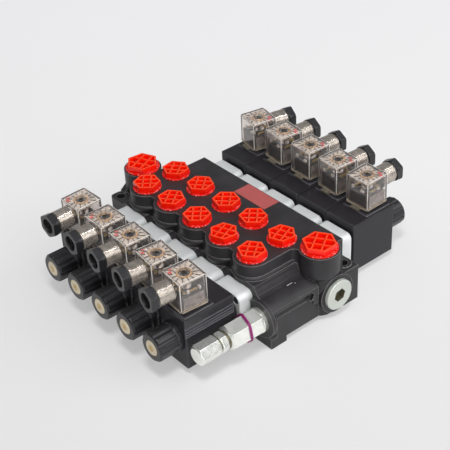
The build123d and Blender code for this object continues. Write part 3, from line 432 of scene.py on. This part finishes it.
def piece(name, draw, look, places=(Matrix.Identity(4),), body="valve"):
    """One object from a drawing repeated at each place, riding on a body."""
    work = bmesh.new()
    for place in places:
        single = bmesh.new()
        draw(single)
        bmesh.ops.recalc_face_normals(single, faces=single.faces)
        bmesh.ops.transform(single, matrix=Matrix.Scale(MM, 4) @ place, verts=single.verts)
        pour(single, work)
    mesh = bpy.data.meshes.new(name)
    work.to_mesh(mesh)
    work.free()
    mesh.materials.append(look)
    made = bpy.data.objects.new(name, mesh)
    bpy.context.scene.collection.objects.link(made)
    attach(made, body)
    return made


def along_y(z, y=0.0):
    """Place whose Z axis runs along +Y from the point (0, y, z)."""
    return Matrix.Translation((0, y, z)) @ Matrix.Rotation(math.radians(-90), 4, "X")


def about_z(degrees):
    return Matrix.Rotation(math.radians(degrees), 4, "Z")


spool_lines = [Matrix.Translation((x, 0, SPOOL_Z)) for x in SECTIONS]


# Label plate, bare

piece(
    "label_plate",
    lambda work: block(work, (-11.9, 17.5, 72.5), (30.8, 36.3, 72.75), 0.08),
    brick_red,
)

# Details of the plug-on connectors, each drawn on the connector axis with the neck towards +Y

BASE_Z = 62.3
TOP_Z = BASE_Z + 30.5
NECK_Z = BASE_Z + 18.6
NECK_RADIUS = 9.8
BOARD_Z = BASE_Z + 15.1
X_FROM_SECTION = -1.0

# Turn, place along Y and small turns of the front row and of the back row
rows = (
    (180.0, -110.35, [2.0, 0.0, -3.5, -6.0, -5.0]),
    (0.0, 106.85, [-12.0, -6.0, -2.0, -4.0, 1.0]),
)
connectors = [
    Matrix.Translation((x + X_FROM_SECTION, y, 0)) @ about_z(turn + yaw)
    for turn, y, yaws in rows
    for x, yaw in zip(SECTIONS, yaws)
]


def draw_thread(work):
    """Thread turns round the neck, as rings."""
    pitch = 1.25
    start = 15.2
    ridges = 12
    profile = [(NECK_RADIUS + 0.01, start - 0.4)]
    for i in range(ridges):
        profile.append((NECK_RADIUS + 0.05, start + i * pitch))
        profile.append((NECK_RADIUS + 0.2, start + (i + 0.25) * pitch))
        profile.append((NECK_RADIUS + 0.2, start + (i + 0.8) * pitch))
    profile.append((NECK_RADIUS + 0.05, start + ridges * pitch))
    profile.append((NECK_RADIUS + 0.01, start + ridges * pitch + 0.3))
    turned(work, profile, along_y(NECK_Z), 160)


def draw_screw_ring(work):
    """Ring round the boss of the connector screw."""
    low = TOP_Z - 2.7
    profile = [(5.05, low), (6.9, low), (7.1, low + 0.4), (6.8, low + 0.9), (5.1, low + 0.9)]
    turned(work, profile, Matrix.Identity(4))


def draw_spokes(work):
    """Thin ribs of uneven length and width that fan out from the screw boss under the top."""
    high = TOP_Z - 1.65
    number = 14
    for i in range(number):
        angle = 2 * math.pi * (i + 0.5) / number
        wall = 11.6 / max(abs(math.cos(angle)), abs(math.sin(angle)))
        near, far = 7.4 + i % 3, min(wall, 14.6)
        half = 0.22 + 0.1 * (i % 4)
        single = bmesh.new()
        block(single, (near, -half, high - 0.8), (far, half, high), 0.08)
        bmesh.ops.transform(single, matrix=Matrix.Rotation(angle, 4, "Z"), verts=single.verts)
        pour(single, work)


def draw_top_lining(work):
    """Frosted underside of the top, open round the screw boss."""
    high = TOP_Z - 2.6
    for plan in (
        (0, 9.0, 23.4, 5.4),
        (0, -9.0, 23.4, 5.4),
        (9.0, 0, 5.4, 12.6),
        (-9.0, 0, 5.4, 12.6),
    ):
        slab(work, plan, high - 0.3, high, 0.05)


def draw_glint_flecks(work):
    """Painted glints: bright bits set into the surface of the top."""
    for plan in (
        (-4.6, 4.8, 1.9, 0.5),
        (5.2, -3.6, 0.5, 1.8),
        (-6.3, -5.6, 1.6, 0.5),
        (1.6, -9.8, 2.2, 0.45),
        (-10.4, 1.8, 0.45, 1.8),
        (10.3, -7.4, 0.5, 1.4),
    ):
        slab(work, plan, TOP_Z - 0.3, TOP_Z, 0.12)


def draw_side_lining(work):
    """Frosted lower part of the two side walls."""
    for x in (-12.1, 12.1):
        slab(work, (x, 0, 0.24, 20.8), BASE_Z + 1.6, BASE_Z + 14.4, 0.04)


def draw_edge_highlights(work):
    """Painted highlights: light lines along the rounded edges of the housing."""
    for z, half, thick in ((TOP_Z - 0.6, 13.2, 0.55), (BASE_Z + 0.3, 13.65, 0.4)):
        four_sides(work, half, 2 * half - 2.4, thick, z, z + thick, 0.1)
    for x in (-13.0, 13.0):
        for y in (-13.0, 13.0):
            slab(work, (x, y, 0.6, 0.6), BASE_Z + 1.2, TOP_Z - 1.4, 0.1)


def draw_lamps(work):
    """Two small red lamps under the top."""
    low = TOP_Z - 2.3
    block(work, (4.6, 8.2, low), (8.6, 11.2, low + 0.5), 0.2)
    block(work, (9.0, 5.6, low), (11.8, 8.6, low + 0.5), 0.2)


def draw_terminals(work):
    """Three screw heads and two clamps on the contact insert."""
    for x, y in ((-6.5, 6.5), (6.5, 6.5), (0.0, 8.5)):
        place = Matrix.Translation((x, y, BOARD_Z + 0.1))
        turned(work, [(0.4, 0.0), (2.2, 0.0), (2.2, 1.5), (1.9, 1.9), (0.4, 1.9)], place, 24)
    for x in (-8.5, 8.5):
        slab(work, (x, -2.0, 2.0, 8.0), BOARD_Z, BOARD_Z + 1.9, 0.3)


def draw_board_parts(work):
    """Small parts on the contact insert, each a plan and a height."""
    for *plan, high in (
        (-9.0, -8.0, 3.0, 2.0, 3.0),
        (3.5, -8.8, 4.0, 1.8, 2.4),
        (9.3, 4.6, 1.8, 3.4, 2.0),
        (-9.6, 3.8, 1.6, 2.6, 4.0),
    ):
        slab(work, plan, BOARD_Z, BOARD_Z + high, 0.3)


def draw_base_beads(work):
    """Two thin lines round the gasket, whose dotted light colour is partly a painted highlight.
    """
    for low in (BASE_Z + 0.9, BASE_Z + 2.3):
        four_sides(work, 13.95, 25.0, 0.3, low, low + 0.5, 0.1)


piece("neck_threads", draw_thread, thread, connectors)
# The amber screw rings are brass-toned parts whose bright colour is partly a painted glint
piece("screw_rings", draw_screw_ring, amber, connectors)
piece("top_spokes", draw_spokes, smoke, connectors)
piece("top_linings", draw_top_lining, frost, connectors)
# Painted glints on the connectors' tops
piece("top_glint_flecks", draw_glint_flecks, pearl, connectors)
piece("side_linings", draw_side_lining, side_frost, connectors)
# Painted highlights along the connectors' edges
piece("edge_highlights", draw_edge_highlights, pearl, connectors)
piece("lamps", draw_lamps, led_red, connectors)
piece("terminals", draw_terminals, brass, connectors)
piece("board_parts", draw_board_parts, pearl, connectors)
piece("base_beads", draw_base_beads, bead, connectors)


def chamfer(near, far, flats):
    """Points from one (radius, height) of a hexagon's chamfer to another, with both ends."""
    steps = 5
    (radius, height), (last_radius, last_height) = near, far
    wider, higher = last_radius - radius, last_height - height
    return [
        (radius + wider * i / steps, height + higher * i / steps, flats) for i in range(steps + 1)
    ]


def draw_gland_nut(work):
    """Hexagon nut on the neck, with a narrower collar behind and an open mouth."""
    flats = 20.5
    near, far = 31.7, 38.75
    profile = [(8.75, near), (10.9, near, flats), (11.1, near + 0.3, flats)]
    profile += [(11.1, near + 2.9, flats), (11.84, near + 3.0, flats)]
    profile += chamfer((11.84, far - 0.5), (11.2, far), flats)
    profile += [(7.4, far), (7.1, far - 0.4), (6.9, far - 3.0), (8.75, far - 3.2)]
    turned(work, profile, along_y(NECK_Z), 96, turn=30.0)


gland_nuts = piece("gland_nut_shapes", draw_gland_nut, nut_black, connectors)
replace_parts(gland_nuts, "gland_nuts_front", "gland_nuts_back")


# Relief valve: nuts, shanks and band, on an axis that runs outward from the valve

RELIEF_X = 107.0
RELIEF_Z = 30.6
NUT_FLATS = 17.0
NUT_CORNER = 9.85
NUT_FACE = 8.2
NUT_CHAMFER = 0.95
NUT_TURN = 3.0
# Radius of the hole left inside the turned pieces, where nothing shows
INNER = 0.5
face_front = Matrix.Rotation(math.radians(90), 4, "X")
relief_out = Matrix.Translation((RELIEF_X, 0, RELIEF_Z)) @ face_front


def nut_back(near):
    """Points of the face and chamfer that both nuts have towards the valve."""
    outer = (NUT_CORNER, near + NUT_CHAMFER)
    return [(INNER, near)] + chamfer((NUT_FACE, near), outer, NUT_FLATS)


def draw_lock_nut(work):
    near, far = 98.5, 104.95
    profile = nut_back(near)
    profile += chamfer((NUT_CORNER, far - NUT_CHAMFER), (NUT_FACE, far), NUT_FLATS)
    turned(work, profile + [(INNER, far)], relief_out, 96, NUT_TURN)


def draw_cap_nut(work):
    near, far = 106.5, 127.95
    profile = nut_back(near)
    profile += chamfer((NUT_CORNER, far - 1.5), (7.6, far - 0.2), NUT_FLATS)
    turned(work, profile + [(7.3, far), (INNER, far)], relief_out, 96, NUT_TURN)


def draw_shanks(work):
    """Round necks behind the lock nut and between the two nuts, dark olive as painted shade in
    the gaps.
    """
    for radius, near, far in ((8.2, 96.05, 98.6), (7.0, 104.9, 106.6)):
        profile = [(INNER, near), (radius, near), (radius, far), (INNER, far)]
        turned(work, profile, relief_out)


def draw_band(work):
    """Round cord pulled tight round the hexagon, a little slanted."""
    slant = math.radians(9.5)
    corner = math.radians(45)
    across = Vector((math.cos(slant), -math.sin(slant), 0))
    up = Vector((0, 0, 1))
    along = across.cross(up)
    middle = Vector((RELIEF_X, -74.7, RELIEF_Z))
    radius, swell, thick = 12.3, 0.55, 1.15
    steps, sides = 72, 12
    rings = []
    for i in range(steps):
        angle = 2 * math.pi * i / steps
        outward = across * math.cos(angle) + up * math.sin(angle)
        reach = radius + swell * math.cos(6 * (angle - corner))
        ring = []
        for j in range(sides):
            turn = 2 * math.pi * j / sides
            offset = outward * (reach + thick * math.cos(turn)) + along * thick * math.sin(turn)
            ring.append(work.verts.new(middle + offset))
        rings.append(ring)
    skin(work, rings + rings[:1])


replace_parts(piece("lock_nut_shape", draw_lock_nut, zinc), "relief_lock_nut")
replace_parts(piece("cap_nut_shape", draw_cap_nut, zinc), "relief_cap_nut")
piece("relief_shanks", draw_shanks, gap_shade_olive)
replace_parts(piece("band_shape", draw_band, purple), "tamper_band")


# Fuller ribs in the caps, over the CAD's, with the turn of each cap in degrees


def draw_ribs(work, flats, top):
    """Two ribs each way across the inside of a hexagonal cap with its corners along X."""
    wall, thick, deep = 1.3, 1.6, 4.1
    corner = math.radians(30)
    offset = 0.16 * flats
    reach_y = flats / 2 - wall
    reach_x = reach_y / math.cos(corner) - offset * math.tan(corner)
    for side in (-offset, offset):
        slab(work, (side, 0, thick, 2 * reach_y), top - deep, top, 0.15)
        slab(work, (0, side, 2 * reach_x, thick), top - deep, top, 0.15)


SMALL_CAP_FLATS = 23.0
LARGE_CAP_FLATS = 27.4
CAP_TURNS = {
    "port_caps_a": (49.0, 37.0, 48.0, 21.0, 37.0),
    "port_caps_b": (38.0, 40.0, 45.0, 45.5, 22.0),
    "p_port_cap": (24.0,),
    "t_port_cap": (32.0,),
}
for cap, turns in CAP_TURNS.items():
    low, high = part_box(cap)
    middle = [(low[i] + high[i]) / 2 / MM for i in range(2)]
    columns = SECTIONS if len(turns) > 1 else [middle[0]]
    places = [
        Matrix.Translation((x, middle[1], 0)) @ about_z(turn) for x, turn in zip(columns, turns)
    ]
    flats = SMALL_CAP_FLATS if len(turns) > 1 else LARGE_CAP_FLATS
    # A hair over the CAD's ribs, so that the two tops don't fight
    top = high[2] / MM + 0.01
    piece(
        f"{cap}_ribs",
        lambda work: draw_ribs(work, flats, top),
        red_cap,
        places,
    )


# Coil springs in place of the CAD's sleeves


def draw_coil(work, radius, wire, length, turns, place):
    """Coil from the foot of place along its Z axis, where wire is the wire's radius."""
    steps, sides = 28 * turns, 8
    rings = []
    for i in range(steps + 1):
        angle = 2 * math.pi * turns * i / steps
        outward = Vector((math.cos(angle), math.sin(angle), 0))
        height = wire + (length - 2 * wire) * i / steps
        ring = []
        for j in range(sides):
            turn = 2 * math.pi * j / sides
            rise = Vector((0, 0, height + wire * math.sin(turn)))
            point = outward * (radius + wire * math.cos(turn)) + rise
            ring.append(work.verts.new(place @ point))
        rings.append(ring)
    skin(work, rings)
    work.faces.new(rings[0])
    work.faces.new(rings[-1])


CHECK_Y = -18.5
CHECK_FOOT_Z = 10.5
RELIEF_FOOT_Y = -75.75
CENTRING_FOOT_Y = 53.75


def draw_check_spring(work):
    foot = Matrix.Translation((0, CHECK_Y, CHECK_FOOT_Z))
    draw_coil(work, radius=3.27, wire=0.42, length=6.95, turns=4, place=foot)


def draw_relief_spring(work):
    foot = Matrix.Translation((RELIEF_X, 0, 0)) @ along_y(RELIEF_Z, RELIEF_FOOT_Y)
    draw_coil(work, radius=4.9, wire=0.8, length=32.0, turns=9, place=foot)


def draw_centring_springs(work):
    """The back spring of a section and the front one."""
    for turn in (0, 180):
        foot = about_z(turn) @ along_y(0, CENTRING_FOOT_Y)
        draw_coil(work, radius=9.4, wire=1.0, length=10.5, turns=3, place=foot)


check_springs = []
for number, x in enumerate(SECTIONS, start=1):
    place = [Matrix.Translation((x, 0, 0))]
    name = f"check_spring_{number}"
    made = piece(name, draw_check_spring, steel, place)
    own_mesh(made)
    check_springs.append(made)
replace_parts(check_springs[0], "load_check_springs")
relief_spring = piece("relief_coil", draw_relief_spring, steel)
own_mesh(relief_spring)
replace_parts(relief_spring, "relief_spring")
centring_coils = piece(
    "centring_coils", draw_centring_springs, steel, spool_lines
)
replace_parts(centring_coils, "centring_springs_front", "centring_springs_back")


# Socket of the gallery plug

PLUG_Y = 22.0
PLUG_Z = 24.3
SOCKET_FLATS = 11.85
LINING_FLATS = 11.4
plug_out = Matrix(((0, 0, 1, 0), (1, 0, 0, PLUG_Y), (0, 1, 0, PLUG_Z), (0, 0, 0, 1)))


def draw_socket(work):
    """Thin lining of the hexagon socket and its floor, dark as painted shade in the socket."""
    floor, mouth = 119.7, 125.4
    profile = [(0.05, floor), (6.9, floor, SOCKET_FLATS), (6.9, mouth, SOCKET_FLATS)]
    profile += [(6.7, mouth, LINING_FLATS), (6.7, floor + 0.2, LINING_FLATS)]
    turned(work, profile + [(0.05, floor + 0.2)], plug_out, 72, 10.0)


piece("plug_socket", draw_socket, gap_shade_olive)


# Rings round the pins on the coil nuts, and dimples in the pins' ends

BACK_PIN_Y = 147.9
FRONT_PIN_Y = 151.4
pin_ends = [along_y(0, BACK_PIN_Y), about_z(180) @ along_y(0, FRONT_PIN_Y)]


def draw_pin_rings(work):
    profile = [(2.35, -0.6), (3.2, -0.6), (3.2, 0.0), (3.1, 0.04), (2.35, 0.04)]
    for place in pin_ends:
        turned(work, profile, place, 32)


def draw_pin_dimples(work):
    profile = [(0.05, -0.3), (0.9, -0.3), (0.9, 0.02), (0.8, 0.04), (0.05, 0.04)]
    for place in pin_ends:
        turned(work, profile, place, 24)


piece("pin_rings", draw_pin_rings, brass, spool_lines)
for number, place in enumerate(spool_lines, start=1):
    body = f"spool_{number}"
    piece(f"pin_dimples_{number}", draw_pin_dimples, amber, [place], body)


# Cast marks on the relief barrel


def draw_cast_marks(work):
    block(work, (105.4, -24.0, 48.3), (106.3, -17.6, 48.95), 0.2)
    block(work, (107.3, -16.6, 48.3), (108.5, -15.4, 48.9), 0.25)


piece("cast_marks", draw_cast_marks, pale_mark)


# Studio


def build_floor():
    """Pale floor that glows a little where it is seen and is plain pale paper to other light; the
    glow is painted light that lightens the valve's shadow.
    """
    mesh = bpy.data.meshes.new("floor")
    side = 6.0
    mesh.from_pydata(
        [(-side, -side, 0), (side, -side, 0), (side, side, 0), (-side, side, 0)],
        [],
        [(0, 1, 2, 3)],
    )
    floor = bpy.data.objects.new("floor", mesh)
    bpy.context.scene.collection.objects.link(floor)
    made, tree, shader = material("floor")
    place = node(tree, "TexCoord").outputs["Object"]
    pale = [(0.3, (0.795, 0.795, 0.8)), (0.7, (0.805, 0.805, 0.81))]
    tone = ramp(tree, noise(tree, place, 3.0), pale)
    tree.links.new(tone, shader.inputs["Base Color"])
    shader.inputs["Roughness"].default_value = 0.9
    shader.inputs["Specular IOR Level"].default_value = 0.1
    from_camera = (-0.784, 0.62, 0.0)
    away = node(tree, "VectorMath", {0: place, 1: from_camera}, operation="DOT_PRODUCT")
    depth = between(tree, away.outputs["Value"], -0.25, 0.65)
    # Painted light and shade: the glow darkens towards the camera, for the fall of light across
    # the floor and the valve's soft shadow in front of it
    stops = [
        (0.0, (0.66, 0.655, 0.65)),
        (0.25, (0.785, 0.78, 0.78)),
        (0.45, (0.915, 0.91, 0.915)),
        (0.7, (0.985, 0.975, 0.985)),
        (1.0, (1.06, 1.045, 1.07)),
    ]
    painted_light_sheet = ramp(tree, depth, stops)
    glow = node(tree, "Emission", {"Color": painted_light_sheet})
    path = node(tree, "LightPath")
    seen = path.outputs["Is Camera Ray"]
    for ray in ("Is Glossy Ray", "Is Transmission Ray"):
        seen = maths(tree, "MAXIMUM", seen, path.outputs[ray])
    # Half of what is seen is the glow, painted light over the valve's shadow
    share = maths(tree, "MULTIPLY", seen, 0.5)
    halves = {0: share, 1: shader.outputs["BSDF"], 2: glow.outputs["Emission"]}
    both = node(tree, "MixShader", halves)
    tree.links.new(both.outputs["Shader"], tree.nodes["Material Output"].inputs["Surface"])
    mesh.materials.append(made)


def area_light(name, place, size, power):
    """Square white light aimed at the middle of the valve."""
    data = bpy.data.lights.new(name, "AREA")
    data.shape = "RECTANGLE"
    data.size = data.size_y = size
    data.energy = power
    lamp = bpy.data.objects.new(name, data)
    bpy.context.scene.collection.objects.link(lamp)
    lamp.location = place
    towards = Vector((0, 0, 0.05)) - Vector(place)
    lamp.rotation_euler = towards.to_track_quat("-Z", "Y").to_euler()


build_floor()
area_light("right_box", (1.4, 1.1, 1.5), 1.6, 17.0)
area_light("side_box", (1.9, -0.5, 1.0), 1.4, 20.0)
area_light("top_lamp", (0.6, -0.45, 1.75), 0.4, 18.0)
world = bpy.data.worlds.new("studio")
world.use_nodes = True
world_tree = world.node_tree
background = world_tree.nodes["Background"]
background.inputs["Color"].default_value = (0.97, 0.98, 1.0, 1.0)
path = node(world_tree, "LightPath").outputs
seen = maths(world_tree, "MAXIMUM", path["Is Camera Ray"], path["Is Transmission Ray"])
strength = node(world_tree, "MapRange", {"Value": seen, "To Min": 0.29, "To Max": 0.92})
world_tree.links.new(strength.outputs["Result"], background.inputs["Strength"])
bpy.context.scene.world = world
bpy.context.scene.view_settings.view_transform = "Standard"


# Camera

azimuth, elevation, roll = (math.radians(a) for a in (51.668, 34.799, -3.229))
back = Vector(
    (
        math.sin(azimuth) * math.cos(elevation),
        -math.cos(azimuth) * math.cos(elevation),
        math.sin(elevation),
    )
)
level = Vector((math.cos(azimuth), math.sin(azimuth), 0))
upright = back.cross(level)
side = level * math.cos(roll) + upright * math.sin(roll)
top = upright * math.cos(roll) - level * math.sin(roll)
lens = bpy.data.cameras.new("camera")
lens.lens = 87.69
lens.sensor_width = 36.0
lens.clip_end = 50.0
camera = bpy.data.objects.new("camera", lens)
bpy.context.scene.collection.objects.link(camera)
stance = Matrix((side, top, back)).transposed().to_4x4()
camera.matrix_world = Matrix.Translation((0.66424, -0.53019, 0.63924)) @ stance
bpy.context.scene.camera = camera
